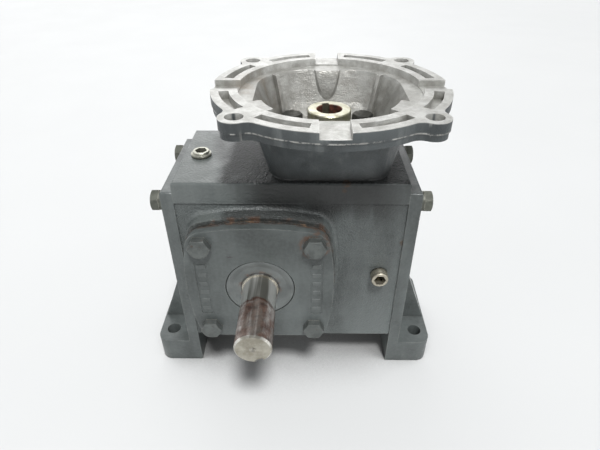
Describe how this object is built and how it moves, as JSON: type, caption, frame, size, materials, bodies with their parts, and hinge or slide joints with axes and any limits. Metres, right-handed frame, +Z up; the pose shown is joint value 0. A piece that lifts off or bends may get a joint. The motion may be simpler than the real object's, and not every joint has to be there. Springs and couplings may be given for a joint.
{
  "type": "worm gearbox",
  "caption": "Right-angle worm gear reducer: cast case on foot brackets, solid output shaft at the front, motor flange with hollow input quill on top.",
  "frame": {"origin": "on the ground at the centre of the four foot holes", "axes": "+Z up along the worm and motor axis; the output shaft points to -Y; +X runs from the output side towards the motor side"},
  "size_m": [0.214, 0.1835, 0.2109],
  "materials": {
    "painted_casting": "grey enamel over cast iron, satin, slightly rough",
    "cast_aluminium": "machined and as-cast aluminium, lower sides painted grey",
    "dark_steel": "dark zinc and grey paint, worn",
    "plug_steel": "plated steel, lightly rusted",
    "gasket": "dark fibre gasket",
    "seal": "rubber-faced seal, painted over",
    "shaft_steel": "ground steel, rust-stained outside",
    "bronze": "machined bronze",
    "bearing_steel": "ground bearing steel"
  },
  "bodies": {
    "gearcase": {"housing": "painted_casting", "front_cover": "painted_casting", "front_cover_gasket": "gasket", "front_cover_bolts": "dark_steel", "rear_cover": "painted_casting", "rear_cover_gasket": "gasket", "rear_cover_bolts": "dark_steel", "output_seal": "seal", "worm_end_cap": "painted_casting", "worm_end_cap_gasket": "gasket", "worm_end_cap_screws": "dark_steel", "fill_plug": "plug_steel", "level_plug": "plug_steel", "drain_plug": "plug_steel", "motor_flange": "cast_aluminium", "flange_gasket": "gasket", "flange_bolts": "dark_steel", "input_seal": "seal", "left_foot_bracket": "painted_casting", "left_bracket_washers": "dark_steel", "left_bracket_bolts": "dark_steel", "right_foot_bracket": "painted_casting", "right_bracket_washers": "dark_steel", "right_bracket_bolts": "dark_steel", "input_bearing_outer_ring": "bearing_steel", "end_bearing_outer_ring": "bearing_steel", "front_bearing_outer_ring": "bearing_steel", "rear_bearing_outer_ring": "bearing_steel"},
    "output": {"output_shaft": "shaft_steel", "gear_key": "shaft_steel", "gear_spacer": "shaft_steel", "worm_wheel": "bronze", "front_bearing_inner_ring": "bearing_steel", "rear_bearing_inner_ring": "bearing_steel"},
    "worm": {"worm_shaft": "shaft_steel", "input_bearing_inner_ring": "bearing_steel", "end_bearing_inner_ring": "bearing_steel"},
    "input_bearing_rolling_set": {"input_bearing_balls": "bearing_steel", "input_bearing_cage": "bearing_steel"},
    "end_bearing_rolling_set": {"end_bearing_balls": "bearing_steel", "end_bearing_cage": "bearing_steel"},
    "front_bearing_rolling_set": {"front_bearing_balls": "bearing_steel", "front_bearing_cage": "bearing_steel"},
    "rear_bearing_rolling_set": {"rear_bearing_balls": "bearing_steel", "rear_bearing_cage": "bearing_steel"}
  },
  "joints": [
    {"name": "output_spin", "type": "hinge", "parent": "gearcase", "child": "output", "pos_m": [-0.02045, 0, 0.095], "axis": [0, -1, 0], "continuous": true},
    {"name": "worm_spin", "type": "hinge", "parent": "gearcase", "child": "worm", "pos_m": [0.024, 0, 0.095], "axis": [0, 0, 1], "continuous": true},
    {"name": "input_bearing_roll", "type": "hinge", "parent": "gearcase", "child": "input_bearing_rolling_set", "pos_m": [0.024, 0, 0.095], "axis": [0, 0, 1], "continuous": true},
    {"name": "end_bearing_roll", "type": "hinge", "parent": "gearcase", "child": "end_bearing_rolling_set", "pos_m": [0.024, 0, 0.095], "axis": [0, 0, 1], "continuous": true},
    {"name": "front_bearing_roll", "type": "hinge", "parent": "gearcase", "child": "front_bearing_rolling_set", "pos_m": [-0.02045, 0, 0.095], "axis": [0, -1, 0], "continuous": true},
    {"name": "rear_bearing_roll", "type": "hinge", "parent": "gearcase", "child": "rear_bearing_rolling_set", "pos_m": [-0.02045, 0, 0.095], "axis": [0, -1, 0], "continuous": true}
  ],
  "couplings": [
    {"joint": "worm_spin", "follows": "output_spin", "ratio": -20},
    {"joint": "input_bearing_roll", "follows": "output_spin", "ratio": -8.2},
    {"joint": "end_bearing_roll", "follows": "output_spin", "ratio": -7.5821},
    {"joint": "front_bearing_roll", "follows": "output_spin", "ratio": 0.39481},
    {"joint": "rear_bearing_roll", "follows": "output_spin", "ratio": 0.39481}
  ]
}
